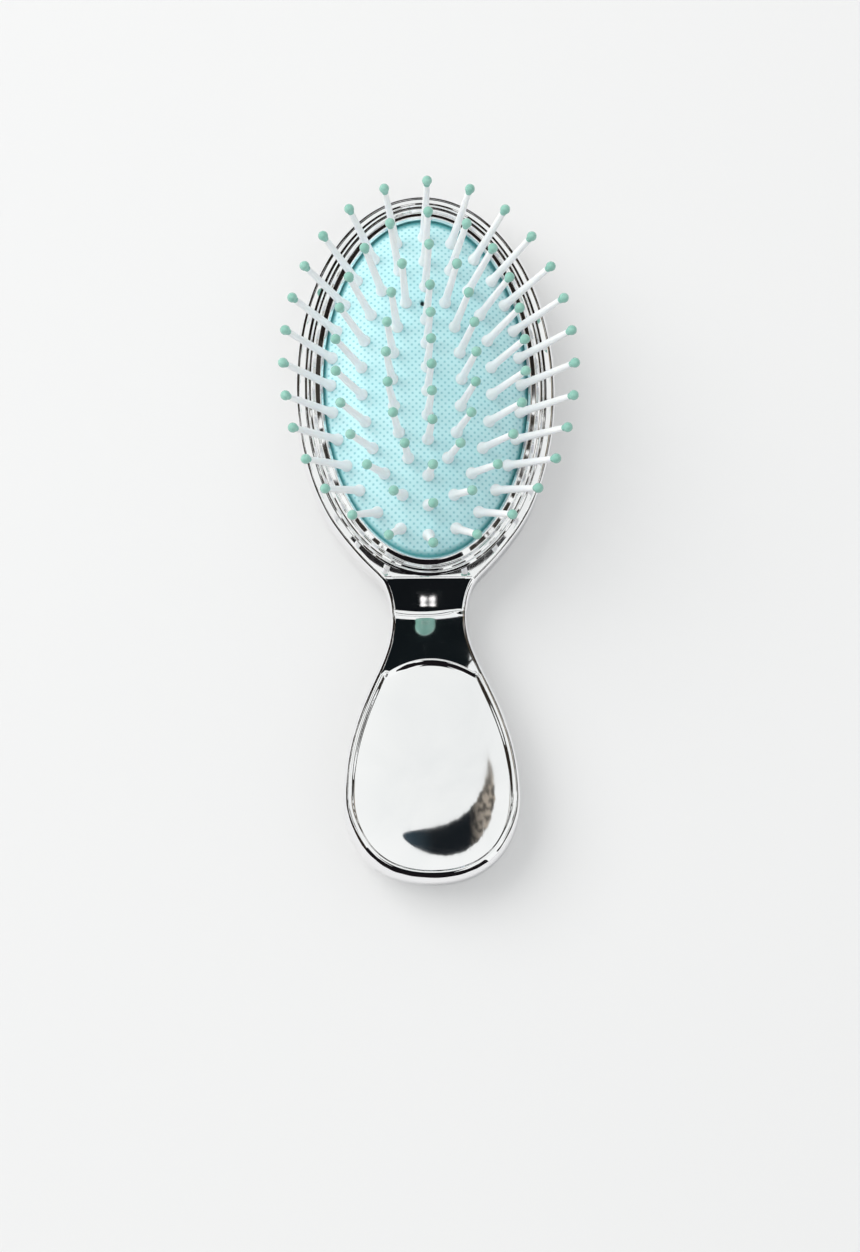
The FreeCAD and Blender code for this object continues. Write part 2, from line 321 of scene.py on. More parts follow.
mintLook = {"deep": (0.255, 0.53, 0.44, 1), "bloom": (0.33, 0.61, 0.52, 1), "bubble": (0.5, 0.78, 0.7, 1),
            "marks": (400.0, 1500.0, 2600.0), "bubbleShare": 0.3, "rough": 0.2, "bloomRough": 0.12,
            "bubbleDepth": 0.1, "bubbleReach": 3e-5, "coat": 0.4, "coatRough": 0.08}


def makeMint(look):
    # dipped mint enamel: glossy, a paler bloom in patches, pinprick bubbles
    material, tree, shader = newMaterial("mint enamel")
    marks = placeHandling(tree, look["marks"])[1]
    colour = mixColour(tree, marks["Smear"], look["deep"], look["bloom"])
    colour = mixShare(tree, marks["Speck"], look["bubbleShare"], colour, look["bubble"])
    rough = doMath(tree, "MULTIPLY_ADD", marks["Smear"], look["bloomRough"], look["rough"])
    bump = addBump(tree, marks["Speck"], look["bubbleDepth"], look["bubbleReach"])
    fill(tree, shader, {"Base Color": colour, "Roughness": rough, "Normal": bump,
                        "Coat Weight": look["coat"], "Coat Roughness": look["coatRough"]})
    return material


aquaRubber = makeRubber(rubberLook)
whiteNylon = makeNylon(nylonLook)
mintEnamel = makeMint(mintLook)
say("finishes")

# the cushion's oval and dome, which the body, the frame and the pins follow


def padOval(angle, out):
    # point of the pad's ellipse moved out along its normal
    nx, ny = np.cos(angle) / pad["halfWidth"], np.sin(angle) / pad["halfLength"]
    size = np.hypot(nx, ny)
    x = pad["halfWidth"] * np.cos(angle) + out * nx / size
    y = pad["halfLength"] * np.sin(angle) + out * ny / size
    return x, y


def domeLevel(x, y):
    # z = edge + rise (1 - rho^power), rho the share of the way to the ellipse
    rho = np.hypot(x / pad["halfWidth"], y / pad["halfLength"])
    return pad["edge"] + pad["rise"] * (1 - rho ** pad["power"])


def domeNormal(x, y):
    # (-dz/dx, -dz/dy, 1) of that dome, made one long
    rho = np.hypot(x / pad["halfWidth"], y / pad["halfLength"])
    steep = pad["rise"] * pad["power"] * rho ** (pad["power"] - 2)
    slopes = [steep * x / pad["halfWidth"] ** 2, steep * y / pad["halfLength"] ** 2]
    normal = np.stack([*slopes, np.ones_like(x)], -1)
    return normal / np.linalg.norm(normal, axis=-1, keepdims=True)


# shoulder and handle: (share of the way out, share of the way along) between head, neck and handle's end
body = {
    "rim": 5.2, "pocket": 3.5, "headTurn": 0.328, "neckHalf": 6.75, "neckAt": -42.4,
    "handleHalf": 15.25, "handleEnd": -88.4, "parting": 5.0, "face": 9.5,
    "rimRound": 1.05, "rimRise": 1.25, "backRound": 4.2, "seam": 0.12, "pocketFloor": 7.1,
    "shoulder": [(0.595, 0.235), (0.255, 0.43), (0.08, 0.64)],
    "handle": [(0.093, 0.098), (0.296, 0.196), (0.56, 0.305), (0.844, 0.454), (0.993, 0.627),
               (0.918, 0.79), (0.615, 0.8955), (0.128, 0.9655)],
    "headKnots": 11, "splineSteps": 12000, "halfSteps": 600, "sharp": 50,
    "backSteps": 22, "backLand": 0.25, "seamFrom": 5, "seamEvery": 4,
}


def wholeRound(half, flip=1):
    # right half, then the left half back up
    return np.concatenate([half, half[1:-1][::-1] * flip])


def bodyKnots():
    # right half: parallel of the pad's ellipse, then shares towards the neck and along the handle
    turns = np.arange(body["headKnots"]) / (body["headKnots"] - 1)
    angles = math.pi / 2 - (math.pi / 2 + body["headTurn"] * math.pi) * turns
    head = np.stack(padOval(angles, body["rim"]), -1)
    head[0, 0] = 0.0
    start = head[-1]
    neckSpot = np.array([body["neckHalf"], body["neckAt"]])
    shoulder = np.array(body["shoulder"])
    wide = body["neckHalf"] + (start[0] - body["neckHalf"]) * shoulder[:, 0]
    along = start[1] + (body["neckAt"] - start[1]) * shoulder[:, 1]
    handleSpan = np.array([body["handleHalf"], body["handleEnd"]]) - neckSpot
    handle = neckSpot + handleSpan * np.array(body["handle"])
    end = [[0.0, body["handleEnd"]]]
    right = np.concatenate([head, np.stack([wide, along], -1), [neckSpot], handle, end])
    return wholeRound(right, mirrorX)


def readOff(want, run, values):
    # both coordinates of a curve at the wanted lengths along it
    return np.stack([np.interp(want, run, values[:, i]) for i in (0, 1)], -1)


def evenHalf(count):
    # the right half in equal steps from the top point to the end of the handle, with outward normals
    fine = closedSpline(bodyKnots(), body["splineSteps"])
    half = fine[:int(np.argmin(fine[:, 1])) + 1]
    run = np.concatenate([[0], np.cumsum(np.linalg.norm(np.diff(half, axis=0), axis=1))])
    want, even = np.linspace(0, run[-1], count), np.linspace(0, run[-1], fineSteps)
    spot = readOff(want, run, half)
    way = readOff(want, even, np.gradient(readOff(even, run, half), axis=0))
    way /= np.linalg.norm(way, axis=1, keepdims=True)
    normal = np.stack([-way[:, 1], way[:, 0]], -1)
    normal[0], normal[-1] = (0, 1), (0, -1)
    spot[0, 0] = spot[-1, 0] = 0.0
    return spot, normal


outline, outNormal = evenHalf(body["halfSteps"])
roundOutline, roundNormal = wholeRound(outline, mirrorX), wholeRound(outNormal, mirrorX)


def bodyRings(insets, levels):
    # rings of the outline moved inwards, one per row: point = outline - inset * normal
    insets, levels = np.broadcast_arrays(np.asarray(insets, float), np.asarray(levels, float))
    flat = roundOutline - insets[..., None] * roundNormal
    return np.concatenate([flat, levels[..., None]], axis=-1)


def makeBack():
    # quarter round from the flat back to the wall, r (1 - sin a) in and r (1 - cos a) up, then a fine
    # seam edge that is rounded in a few of the same turns, capped flat at both ends
    turn = np.linspace(0, math.pi / 2, body["backSteps"])
    seamTurn = turn[body["seamFrom"]::body["seamEvery"]]
    r, seam, parting = body["backRound"], body["seam"], body["parting"]
    insets = np.concatenate([r * (1 - np.sin(turn)), [0, 0], seam * (1 - np.cos(seamTurn))])
    levels = np.concatenate([r * (1 - np.cos(turn)), [r + body["backLand"], parting - seam],
                             parting - seam * (1 - np.sin(seamTurn))])
    points = bodyRings(insets[:, None], levels[:, None] * np.ones(len(roundOutline)))
    rows, columns = points.shape[:2]
    faces = gridFaces(rows, columns, closed=True).tolist()
    faces.append(list(range(columns)))
    faces.append(list(range((rows - 1) * columns, rows * columns)))
    return putMesh("bodyBack", points.reshape(-1, 3), faces, chromeBack, keepSharp=body["sharp"])


backShell = makeBack()
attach(backShell, "brush_body")
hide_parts("back_shell")
say("back shell")

# front shell: rim strip, neck and dish, pocket for the frame
neck = {"crease": -35.0, "floorAt": -41.0, "climbRate": 0.163, "climbBend": 0.0075, "cornerLevel": 9.44,
        "crossRadius": 64.0, "crossTilt": 0.02, "crossLead": 1.0, "soft": 0.3, "creaseSoft": 0.06,
        "crestAt": -49.4, "archDrop": 2.4, "archHalf": 7.4, "archLimit": 1.4,
        "leaveShare": 0.087, "inset": 2.05, "insetTo": -47.0, "insetRun": 8.0}
dish = {"depth": 1.6, "deepAt": -70.0, "acrossHalf": 13.5, "nearHalf": 16.3, "farHalf": 20.6,
        "inset": 1.95, "lip": 0.4, "lipStart": 0.1, "lipRun": 1.1,
        "endFrom": -74.0, "endRun": 8.0, "endInset": 0.2, "endRound": 0.8, "endRise": 1.75}
frontSteps = {"across": 121, "bent": 0.55, "even": 0.45, "seam": 5, "wall": (0.4, 0.8),
              "round": 18, "lip": 11, "pocket": (0.0, 0.1, 0.3, 1.2)}


def crestLine(x):
    # arch across the handle where the neck ends and the dish begins
    return neck["crestAt"] - neck["archDrop"] * np.minimum((x / neck["archHalf"]) ** 2, neck["archLimit"])


def faceLevel(x, y):
    # flat face, a straight fall into the neck, then a climb  lowest + rate p + bend p^2 / 2  with p the way
    # past the neck's floor, a little hollow across, up to the rim's level at the corners of the crest
    run = neck["floorAt"] - neck["crestAt"] + neck["archDrop"]
    lowest = neck["cornerLevel"] - neck["climbRate"] * run - neck["climbBend"] * run ** 2 / 2
    fallRate = (body["face"] - lowest) / (neck["crease"] - neck["floorAt"])
    past = neck["floorAt"] - y
    fall = body["face"] - fallRate * (neck["crease"] - y)
    climb = lowest + neck["climbRate"] * past + neck["climbBend"] * np.maximum(past, 0) ** 2 / 2
    hollow = x ** 2 / (2 * neck["crossRadius"]) + neck["crossTilt"] * x
    hollow = hollow * ease(past + neck["crossLead"]) * (1 - np.clip(past / run, 0, 1) ** 2)
    valley = smoothMax(fall, climb + hollow, neck["soft"])
    return smoothMin(np.full_like(valley, body["face"]), valley, neck["creaseSoft"])


def dropRing(inset, drop):
    # ring of the outline moved inwards, at the face's own level less a drop
    ring = bodyRings(inset, 0.0)
    ring[:, 2] = faceLevel(ring[:, 0], ring[:, 1]) - drop
    return ring


def makeInner(side, turnAt):
    # neck and dish: across u from rail to rail, along the rail from the pocket to the end
    steps = len(side)
    across = np.linspace(-1, 1, frontSteps["across"])
    across = np.sin(across * math.pi / 2) * frontSteps["bent"] + across * frontSteps["even"]
    arcX, arcY = padOval(np.linspace(-math.pi, 0, fineSteps), body["pocket"])
    topBow = np.interp(across * side[0, 0], arcX, arcY) - side[0, 1]
    crestBow = crestLine(across * side[turnAt, 0]) - side[turnAt, 1]
    crestBow = crestBow - crestBow[0] * across ** 2
    along = np.arange(steps)
    toCrest = np.clip((side[0, 1] - side[:, 1]) / (side[0, 1] - side[turnAt, 1]), 0, 1)[:, None]
    pastCrest = np.clip((along - turnAt) / (steps - 1 - turnAt), 0, 1)[:, None]
    x = side[:, :1] * across[None]
    y = side[:, 1:] + topBow[None] * (1 - toCrest) + crestBow[None] * toCrest * (1 - pastCrest) ** 2
    # the dish is a bowl  depth (1 - (x / a)^2 - ((y - y0) / b)^2)  below the foot of its lip, and its top
    # nears the face's level from the crest's as (1 - v)^3
    crestHere = (side[turnAt, 1] + crestBow)[None]
    v = np.clip((crestHere - y) / (crestHere - side[-1, 1]), 0, 1)
    reach = np.where(y < dish["deepAt"], dish["nearHalf"], dish["farHalf"])
    bowl = 1 - (x / dish["acrossHalf"]) ** 2 - ((y - dish["deepAt"]) / reach) ** 2
    sink = (dish["depth"] * bowl + dish["lip"]) * ease((crestHere - y) / dish["lipRun"])
    crestLevel = faceLevel(x[turnAt], y[turnAt])
    dishTop = body["face"] - (body["face"] - crestLevel)[None] * (1 - v) ** 3
    z = np.where(along[:, None] >= turnAt, dishTop - sink, faceLevel(x, y))
    return np.stack([x, y, z], -1)


def makeRim(railInset, endCorner, headEnd, inner):
    # how far the lip drops from the rim's face to the edge of the inner grid, right side then left
    count = len(railInset)
    fullInset, fullCorner = wholeRound(railInset), wholeRound(endCorner)
    edgeLevel = dropRing(fullInset, 0.0)[:, 2]
    leftEnd = 2 * count - 1 - headEnd
    lipFull = np.zeros(len(fullInset))
    lipFull[headEnd:count] = edgeLevel[headEnd:count] - inner[:, -1, 2]
    lipFull[count:leftEnd] = edgeLevel[count:leftEnd] - inner[:-1, 0, 2][::-1]
    # rows from the parting line up the wall, over the round, R (1 - cos a) in and r (1 - sin a) down,
    # and eased down the lip to the rail
    roundFull = body["rimRound"] + dish["endRound"] * fullCorner
    r = body["rimRise"] + dish["endRise"] * fullCorner
    seam, parting = body["seam"], body["parting"]
    flat = np.zeros(len(fullInset))
    strips = []
    for a in np.linspace(0, math.pi / 2, frontSteps["seam"]):
        strips.append(bodyRings(flat + seam * (1 - math.sin(a)), flat + parting + seam * (1 - math.cos(a))))
    for share in frontSteps["wall"]:
        ring = dropRing(flat, r)
        ring[:, 2] = parting + seam + (ring[:, 2] - parting - seam) * share
        strips.append(ring)
    for a in np.linspace(0, math.pi / 2, frontSteps["round"]):
        strips.append(dropRing(roundFull * (1 - math.cos(a)), r * (1 - math.sin(a))))
    for share in np.linspace(0, 1, frontSteps["lip"])[1:]:
        down = ease((share - dish["lipStart"]) / (1 - dish["lipStart"]))
        strips.append(dropRing(roundFull + (fullInset - roundFull) * share, lipFull * down))
    return np.stack(strips)


def makeFront():
    # inner rail: at the pocket round the head, further in along the neck and at the dish's edge
    count = body["halfSteps"]
    headCorner = np.array(padOval(-body["headTurn"] * math.pi, body["rim"]))
    headEnd = int(np.argmin(np.linalg.norm(outline - headCorner, axis=1)))
    leave = ease((np.arange(count) - headEnd) / (neck["leaveShare"] * count))
    past = ease((neck["insetTo"] - outline[:, 1]) / neck["insetRun"])
    further = neck["inset"] * (1 - past) + dish["inset"] * past
    endCorner = ease((dish["endFrom"] - outline[:, 1]) / dish["endRun"])
    railInset = (body["rim"] - body["pocket"]) * (1 - leave) + further * leave + dish["endInset"] * endCorner
    rail = outline - railInset[:, None] * outNormal
    side = rail[headEnd:]
    turnAt = int(np.argmin(np.abs(side[:, 1] - (neck["crestAt"] - neck["archDrop"]))))
    inner = makeInner(side, turnAt)
    rim = makeRim(railInset, endCorner, headEnd, inner)
    # pocket: the head's rail and the arc at the neck, down to a floor
    loop = np.concatenate([rail[:headEnd], inner[0, ::-1, :2], (rail[1:headEnd] * mirrorX)[::-1]])
    drops = [*frontSteps["pocket"], body["face"] - body["pocketFloor"]]
    wall = np.stack([np.insert(loop, 2, body["face"] - drop, axis=1) for drop in drops])
    wall[0, :, 2] = faceLevel(loop[:, 0], loop[:, 1])
    faces, points, total = [], [], 0
    for grid, closed in ((rim, True), (inner, False), (wall, True)):
        rows, columns = grid.shape[:2]
        faces += gridFaces(rows, columns, closed=closed, start=total).tolist()
        points.append(grid.reshape(-1, 3))
        total += rows * columns
    faces.append(list(range(rim.shape[1])))
    faces.append(list(range(total - len(loop), total)))
    return putMesh("bodyFront", np.concatenate(points), faces, chromeShell, keepSharp=body["sharp"])


frontShell = makeFront()
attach(frontShell, "brush_body")
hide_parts("front_shell")
say("front shell")

# crown: (share of the width, level)
trim = {"inner": 0.2, "width": 3.2, "foot": 8.8, "footRise": 0.3, "across": 81, "steps": 300, "soften": 3,
        "sharp": 60,
        "crown": [(0.0, 9.72), (0.1, 10.12), (0.14, 10.2), (0.18, 10.16), (0.42, 9.74), (0.46, 9.74),
                  (0.52, 9.98), (0.6, 10.04), (0.67, 10.02), (0.79, 9.83), (0.82, 9.95), (0.88, 9.96),
                  (1.0, 9.72)]}


def makeTrim():
    # closed profile carried round the pad's ellipse: inner bead sloping outwards into a groove, crown,
    # fine groove, outer slope, straight runs between the crown's points, softened by a short running mean
    crown = np.array(trim["crown"])
    share = np.linspace(0, 1, trim["across"])
    level = np.interp(share, crown[:, 0], crown[:, 1])
    spread = trim["soften"]
    level = np.convolve(np.pad(level, spread // 2, mode="edge"), np.ones(spread) / spread, mode="valid")
    out = trim["inner"] + trim["width"] * share
    foot, wall = trim["foot"], trim["foot"] + trim["footRise"]
    profileOut = np.concatenate([[out[0], out[0]], out, [out[-1], out[-1]]])
    profileLevel = np.concatenate([[foot, wall], level, [wall, foot]])
    angle = np.linspace(0, tau, trim["steps"], endpoint=False)
    x, y = padOval(angle[None], profileOut[:, None])
    points = np.stack([x, y, np.broadcast_to(profileLevel[:, None], x.shape)], -1)
    rows, columns = x.shape
    faces = gridFaces(rows, columns, closed=True)
    under = np.concatenate([points[-1:], points[:1]])
    lower = gridFaces(2, columns, closed=True, start=rows * columns)
    everything = np.concatenate([points.reshape(-1, 3), under.reshape(-1, 3)])
    faces = np.concatenate([faces, lower]).tolist()
    return putMesh("cushionFrame", everything, faces, chromeTrim, keepSharp=trim["sharp"])


cushionFrame = makeTrim()
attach(cushionFrame, "brush_body")
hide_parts("cushion_frame")
say("cushion frame")

cushionSet = {"membrane": 1.1, "skirt": 0.6, "flangeOut": 2.1, "flangeTop": 8.72, "flangeLow": 7.75,
              "ventRadius": 0.42, "ventDepth": 1.0, "ventFrom": 0.72, "ventRun": 0.45,
              "gather": 0.86, "gatherReach": 1.7, "round": 220, "rows": 74, "rowPower": 0.9,
              "underRows": 30, "underPower": 0.8, "sharp": 60}


def makeCushion():
    # closed air cushion: shares of the oval at the dome's level, out to the edge, then skirt and flange,
    # then back along the underside, the membrane's thickness lower
    angle = np.linspace(0, tau, cushionSet["round"], endpoint=False)
    rho = np.sin(np.linspace(0, 1, cushionSet["rows"]) * math.pi / 2) ** cushionSet["rowPower"]
    baseX, baseY = padOval(angle, 0.0)
    topX, topY = rho[:, None] * baseX[None], rho[:, None] * baseY[None]
    # points gather round the vent, then sink into it
    ventX, ventY = ventSpot[0] / mm, ventSpot[1] / mm
    away = np.hypot(topX - ventX, topY - ventY)
    pull = cushionSet["gather"] * np.exp(-(away / cushionSet["gatherReach"]) ** 2)
    topX, topY = topX + (ventX - topX) * pull, topY + (ventY - topY) * pull
    away = np.hypot(topX - ventX, topY - ventY)
    inPit = 1 - ease((away / cushionSet["ventRadius"] - cushionSet["ventFrom"]) / cushionSet["ventRun"])
    top = np.stack([topX, topY, domeLevel(topX, topY) - cushionSet["ventDepth"] * inPit], -1)
    skirt, flangeOut = cushionSet["skirt"], cushionSet["flangeOut"]
    flangeTop, flangeLow = cushionSet["flangeTop"], cushionSet["flangeLow"]
    bands = [(0.0, flangeTop), (flangeOut, flangeTop), (flangeOut, flangeLow), (-skirt, flangeLow)]
    edge = [np.stack([*padOval(angle, out), np.full_like(angle, level)], -1) for out, level in bands]
    inside = np.linspace(1, 0, cushionSet["underRows"]) ** cushionSet["underPower"]
    inX, inY = padOval(angle, -skirt)
    lowX, lowY = inside[:, None] * inX[None], inside[:, None] * inY[None]
    low = np.stack([lowX, lowY, domeLevel(lowX, lowY) - cushionSet["membrane"]], -1)
    points = np.concatenate([top, np.stack(edge), low])
    faces = gridFaces(points.shape[0], points.shape[1], closed=True).tolist()
    return putMesh("cushionPad", points.reshape(-1, 3), faces, aquaRubber, keepSharp=cushionSet["sharp"])


cushionPad = makeCushion()
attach(cushionPad, "brush_body")
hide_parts("cushion")
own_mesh(cushionPad)
say("cushion")

pins = {"length": 15.59, "shaft": 0.71, "end": 0.53, "endPast": 0.1, "shaftSteps": 5,
        "flare": 3.0, "flareFrom": 0.34, "flarePower": 2.2, "flareSteps": 6,
        "footRadius": 1.1, "footTop": 0.14, "footUnder": 1.02, "footBevel": 0.02, "footSunk": 0.24,
        "stub": 0.6, "sunk": 0.8, "round": 14, "sharp": 55}
tips = {"ball": 0.88, "turnFrom": 0.42, "turnSteps": 13, "skirtIn": 0.1, "skirtOut": 0.035, "skirtLow": 1.12,
        "skirtTop": 1.1, "neckOut": 0.06, "round": 16, "sharp": 70}
# rings: shares of the pad's half width and half length, number of pins
rings = {"outer": (0.928, 0.8815, 28), "middle": (0.6355, 0.721, 22), "inner": (0.337, 0.5575, 16)}
ringSteps = 8001
centreRow = {"share": 0.3525, "count": 6}


def ringPlaces(wide, long, count):
    # equal steps round an ellipse, from its top point
    fine = np.linspace(0, tau, ringSteps)
    ex, ey = pad["halfWidth"] * wide * np.sin(fine), pad["halfLength"] * long * np.cos(fine)
    run = np.concatenate([[0], np.cumsum(np.hypot(np.diff(ex), np.diff(ey)))])
    at = np.interp(np.arange(count) / count * run[-1], run, fine)
    return pad["halfWidth"] * wide * np.sin(at), pad["halfLength"] * long * np.cos(at)


def standRound(x, y, radius, height, steps):
    # a profile turned round the dome's normal at every place: base + r (cos a t1 + sin a t2) + h n
    normal = domeNormal(x, y)
    base = np.stack([x, y, domeLevel(x, y)], -1)
    first = np.cross(normal, np.array([0.0, 1.0, 0.0]))
    first /= np.linalg.norm(first, axis=-1, keepdims=True)
    second = np.cross(normal, first)
    angle = np.linspace(0, tau, steps, endpoint=False)[None, :, None]
    ringWay = np.cos(angle) * first[:, None, :] + np.sin(angle) * second[:, None, :]
    points = base[:, None, None, :] + radius[None, :, None, None] * ringWay[:, None, :, :]
    points = points + height[None, :, None, None] * normal[:, None, None, :]
    rows = len(radius)
    faces = [gridFaces(rows, steps, closed=True, start=i * rows * steps) for i in range(len(x))]
    return points.reshape(-1, 3), np.concatenate(faces).tolist()


def pinProfile():
    # sunk stub, foot disc, hollow flare  shaft + (foot - shaft) (1 - u)^power,  straight taper into the ball
    length, shaft, flare = pins["length"], pins["shaft"], pins["flare"]
    up = np.linspace(0, 1, pins["flareSteps"])
    flareR = shaft + (pins["footRadius"] - shaft) * (1 - up) ** pins["flarePower"]
    flareH = pins["flareFrom"] + (flare - pins["flareFrom"]) * up
    shaftH = np.linspace(flare, length + pins["endPast"], pins["shaftSteps"])[1:]
    shaftR = shaft + (pins["end"] - shaft) * (shaftH - flare) / (length - flare)
    under = -pins["footSunk"]
    footR = [0, pins["stub"], pins["stub"], pins["footUnder"], pins["footRadius"]]
    footH = [-pins["sunk"], -pins["sunk"], under, under + pins["footBevel"], pins["footTop"]]
    return np.concatenate([footR, flareR, shaftR, [0]]), np.concatenate([footH, flareH, shaftH, shaftH[-1:]])


def tipProfile():
    # dipped drop: a ball, R sin a wide at the height length - R cos a, with a short skirt down the pin
    length, end, ball = pins["length"], pins["end"], tips["ball"]
    turn = np.linspace(tips["turnFrom"], math.pi, tips["turnSteps"])
    ballR = ball * np.sin(turn)
    ballR[0], ballR[-1] = max(ballR[0], end + tips["neckOut"]), 0.0
    low, top = length - tips["skirtLow"], length - tips["skirtTop"]
    radius = np.concatenate([[0.0, end - tips["skirtIn"], end + tips["skirtOut"]], ballR])
    return radius, np.concatenate([[low, low, top], length - ball * np.cos(turn)])


nodeNames = sorted(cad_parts)
allPlaces = {name: ringPlaces(*size) for name, size in rings.items()}
rowY = pad["halfLength"] * centreRow["share"] * np.linspace(1, -1, centreRow["count"])
allPlaces["centre"] = (np.zeros(centreRow["count"]), rowY)
for name, (px, py) in allPlaces.items():
    points, faces = standRound(px, py, *pinProfile(), pins["round"])
    pinSet = putMesh(name + "Pins", points, faces, whiteNylon, keepSharp=pins["sharp"])
    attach(pinSet, name + "_pins")
    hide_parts(*[n for n in nodeNames if n.startswith(name + "_pins")])
    points, faces = standRound(px, py, *tipProfile(), tips["round"])
    tipSet = putMesh(name + "Tips", points, faces, mintEnamel, keepSharp=tips["sharp"])
    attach(tipSet, name + "_pins")
    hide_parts(name + "_tips")
say("pins and tips")

view = {"azimuth": -9.433, "height": 72.492, "far": 450.0, "look": (0.542, -41.624, 0.0), "roll": -0.968,
        "focusPixels": 2463.55, "framePixels": 1252, "sensor": 36.0, "nearest": 0.01}


def findCamera():
    # far (sin a cos h, -cos a cos h, sin h)
    a, h = math.radians(view["azimuth"]), math.radians(view["height"])
    return view["far"] * np.array([math.sin(a) * math.cos(h), -math.cos(a) * math.cos(h), math.sin(h)])


cameraSpot = findCamera()

# floor and cards in millimetres, lamp in metres; only glossy surfaces see the cards
studio = {"floor": (0.835, 0.835, 0.835, 1), "floorCloud": (0.82, 0.82, 0.825, 1), "floorHalf": 30000.0,
          "floorLevel": -0.3, "cloudSize": 9.0, "cloudDetail": 2.0, "floorRough": 0.9, "floorSpecular": 0.1,
          "fadeSpan": (0.14, 0.5), "paintedLiftLeast": 0.3, "backdrop": 0.9,
          "sky": 0.67, "skyFill": (0.98, 0.99, 1.0, 1), "skyColour": (0.985, 1.0, 0.99, 1),
          "skySide": 1.0, "skyTop": 0.92, "skySpan": (0.78, 0.96),
          "keySpot": (-0.98, 0.56, 1.08), "keyTarget": (0, -0.02, 0), "keyPower": 19.0, "keySize": 1.3,
          "keyColour": (1.0, 0.99, 0.97)}


def mixShaders(tree, amount, first, second, end):
    mix = addNode(tree, "ShaderNodeMixShader", {0: amount, 1: first.outputs[0], 2: second.outputs[0]})
    tree.links.new(mix.outputs[0], tree.nodes[end].inputs["Surface"])


def makeFloor():
    # flat square, four corners of a grid; for the camera a flat glow is mixed in, a set share of it even
    # beside the brush, painted light that lifts the floor's shadow, and far from the brush it fades fully
    # into the backdrop
    reach = np.array([-studio["floorHalf"], studio["floorHalf"]])
    u, v = np.meshgrid(reach, reach)
    points = flatSheet(u, v, studio["floorLevel"]).reshape(-1, 3)
    material, tree, shader = newMaterial("pale floor")
    place = addNode(tree, "ShaderNodeTexCoord").outputs["Object"]
    cloud = addNoise(tree, place, studio["cloudSize"], studio["cloudDetail"])
    colour = mixColour(tree, cloud, studio["floor"], studio["floorCloud"])
    fill(tree, shader, {"Base Color": colour, "Roughness": studio["floorRough"],
                        "Specular IOR Level": studio["floorSpecular"]})
    far = addNode(tree, "ShaderNodeVectorMath", {0: place}, operation="LENGTH").outputs["Value"]
    # painted light: the glow's least share lightens the shadow and the darkening round the brush
    fade = scaleRange(tree, far, studio["fadeSpan"], studio["paintedLiftLeast"])
    fade = doMath(tree, "MULTIPLY", fade, addNode(tree, "ShaderNodeLightPath").outputs["Is Camera Ray"])
    sheen = {"Color": studio["skyColour"], "Strength": studio["backdrop"]}
    glow = addNode(tree, "ShaderNodeEmission", sheen)
    mixShaders(tree, fade, shader, glow, "Material Output")
    floor = putMesh("floor", points, gridFaces(2, 2).tolist(), material)


def makeSky():
    world = bpy.data.worlds.new("studio")
    bpy.context.scene.world = world
    world.use_nodes = True
    tree = world.node_tree
    shown = tree.nodes["Background"]
    # what the plating shows: a little greyer straight overhead than towards the walls
    where = addNode(tree, "ShaderNodeTexCoord").outputs["Generated"]
    height = addNode(tree, "ShaderNodeSeparateXYZ", {0: where}).outputs[2]
    level = scaleRange(tree, height, studio["skySpan"], studio["skySide"], studio["skyTop"])
    light = addNode(tree, "ShaderNodeBackground", {"Color": studio["skyFill"], "Strength": studio["sky"]})
    # the camera sees the backdrop's one level
    ray = addNode(tree, "ShaderNodeLightPath").outputs
    change = doMath(tree, "SUBTRACT", studio["backdrop"], level)
    level = doMath(tree, "MULTIPLY_ADD", ray["Is Camera Ray"], change, level)
    fill(tree, shown, {"Color": studio["skyColour"], "Strength": level})
    seen = doMath(tree, "MAXIMUM", ray["Is Camera Ray"], ray["Is Glossy Ray"])
    seen = doMath(tree, "MAXIMUM", seen, ray["Is Transmission Ray"])
    mixShaders(tree, seen, light, shown, "World Output")


def makeKey():
    # one large soft lamp, not seen by the plating
    light = bpy.data.lights.new("keyLamp", "AREA")
    light.shape = "SQUARE"
    light.size = studio["keySize"]
    light.energy = studio["keyPower"]
    light.color = studio["keyColour"]
    lamp = bpy.data.objects.new("keyLamp", light)
    bpy.context.collection.objects.link(lamp)
    lamp.location = studio["keySpot"]
    lamp.rotation_mode = "QUATERNION"
    way = Vector(studio["keyTarget"]) - Vector(studio["keySpot"])
    lamp.rotation_quaternion = way.to_track_quat("-Z", "Y")
    lamp.visible_glossy = False


cardFar = 700.0
# overhead cards: degrees from straight up towards +X and towards +Y, seen from a middle on the Y axis
overheadMiddle = -40.0
overhead = {
    "cardCamera": {"x": (-18, 12), "y": (-42, -16), "colour": (0.004, 0.005, 0.006, 1)},
    "cardNeck": {"x": (-16, 20), "y": (27.6, 43.5), "colour": (0.004, 0.006, 0.007, 1)},
}
# standing cards: azimuth from +Y towards +X, height above the floor, in degrees
standing = {
    "lowFar": {"azimuth": (-60, 52), "height": (5, 41), "colour": (0.012, 0.009, 0.008, 1)},
    "leftTop": {"azimuth": (-60, -22), "height": (41, 57), "colour": (0.02, 0.015, 0.01, 1), "gaps": 0.36},
    "rightTop": {"azimuth": (22, 52), "height": (41, 57), "colour": (0.06, 0.045, 0.03, 1), "gaps": 0.42},
    "rightLow": {"azimuth": (52, 86), "height": (6, 33), "colour": (0.012, 0.01, 0.009, 1), "gaps": 0.33},
    "rightHead": {"azimuth": (52, 86), "height": (34, 57), "colour": (0.15, 0.12, 0.08, 1), "gaps": 0.33},
    "rightHandle": {"azimuth": (86, 129), "height": (8, 27), "colour": (0.02, 0.017, 0.015, 1)},
    "lowNear": {"azimuth": (140, 232), "height": (3, 48), "colour": (0.006, 0.005, 0.006, 1)},
    "leftHandle": {"azimuth": (232, 274), "height": (4, 33), "colour": (0.02, 0.015, 0.012, 1)},
    "leftHead": {"azimuth": (274, 300), "height": (4, 50), "colour": (0.03, 0.026, 0.022, 1), "gaps": 0.36},
}
